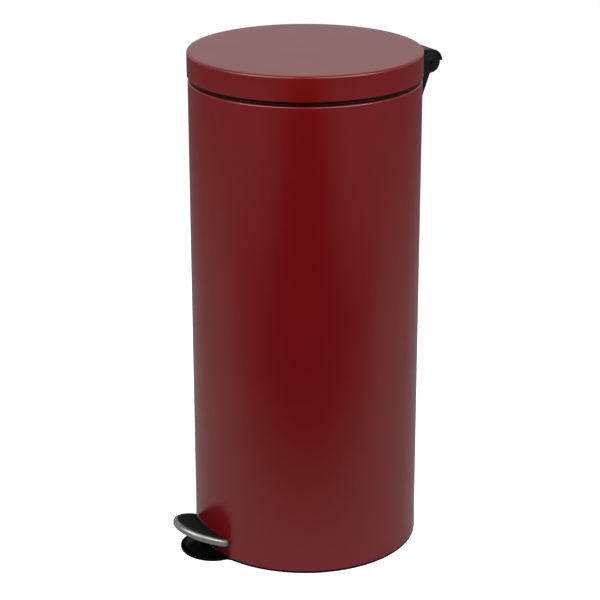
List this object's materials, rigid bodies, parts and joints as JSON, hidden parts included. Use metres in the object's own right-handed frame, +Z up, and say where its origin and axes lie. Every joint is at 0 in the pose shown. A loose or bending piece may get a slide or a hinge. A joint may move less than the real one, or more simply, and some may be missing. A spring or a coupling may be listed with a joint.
{
  "type": "pedal bin",
  "caption": "Tall round painted steel waste can with a hinged flat lid, foot pedal, push rod, inner bucket and moulded base.",
  "frame": {"origin": "on the floor, on the can's vertical axis, centred under the whole object", "axes": "+Z up along the can's axis; -Y towards the pedal; +Y towards the lid hinge; +X along the hinge pin"},
  "size_m": [0.2948, 0.3883, 0.652],
  "materials": {
    "red_paint": "dark red satin powder coat",
    "black_plastic": "semi-gloss moulded",
    "grey_plastic": "fine moulded grain",
    "rubber": "matte",
    "bright_steel": "fine brushed, nearly polished",
    "bare_steel": "drawn steel",
    "zinc_steel": "zinc plated"
  },
  "bodies": {
    "can": {"body_shell": "red_paint", "base_moulding": "black_plastic", "rim_collar": "black_plastic", "inner_bucket": "grey_plastic", "bucket_rim": "grey_plastic", "hinge_bracket": "black_plastic", "hinge_backplate": "zinc_steel", "hinge_pin": "bare_steel", "rod_guide_lower": "grey_plastic", "rod_guide_upper": "grey_plastic", "pedal_axle": "bare_steel", "axle_clip_left": "bare_steel", "axle_clip_right": "bare_steel", "rubber_foot_1": "rubber", "bracket_screw_1": "zinc_steel", "rubber_foot_2": "rubber", "bracket_screw_2": "zinc_steel", "rubber_foot_3": "rubber", "bracket_screw_3": "zinc_steel", "rubber_foot_4": "rubber", "bracket_screw_4": "zinc_steel"},
    "lid": {"lid_shell": "red_paint", "lid_liner": "black_plastic", "lid_screw_left": "zinc_steel", "lid_screw_right": "zinc_steel", "hinge_hood": "black_plastic", "hinge_arm": "zinc_steel", "hinge_bush_left": "grey_plastic", "hinge_bush_right": "grey_plastic", "arm_cross_pin": "bare_steel"},
    "pedal": {"pedal_lever": "zinc_steel", "lever_bush": "grey_plastic", "pedal_plate": "zinc_steel", "pedal_trim": "bright_steel", "pedal_tread": "rubber", "pedal_rivet_left": "zinc_steel", "pedal_rivet_right": "zinc_steel"},
    "rod": {"push_rod": "bare_steel", "rod_foot": "grey_plastic", "rod_head": "grey_plastic"}
  },
  "joints": [
    {"name": "lid_hinge", "type": "hinge", "parent": "can", "child": "lid", "pos_m": [0, 0.1775, 0.6168], "axis": [-1, 0, 0], "range_deg": [0, 60]},
    {"name": "pedal_pivot", "type": "hinge", "parent": "can", "child": "pedal", "pos_m": [0, -0.085, 0.024], "axis": [1, 0, 0], "range_deg": [0, 10.88]},
    {"name": "rod_lift", "type": "slide", "parent": "can", "child": "rod", "axis": [0, 0, 1], "range_m": [0, 0.043]}
  ],
  "couplings": [
    {"joint": "pedal_pivot", "follows": "lid_hinge", "ratio": 0.18119},
    {"joint": "rod_lift", "follows": "lid_hinge", "m_per_rad": 0.041019}
  ]
}
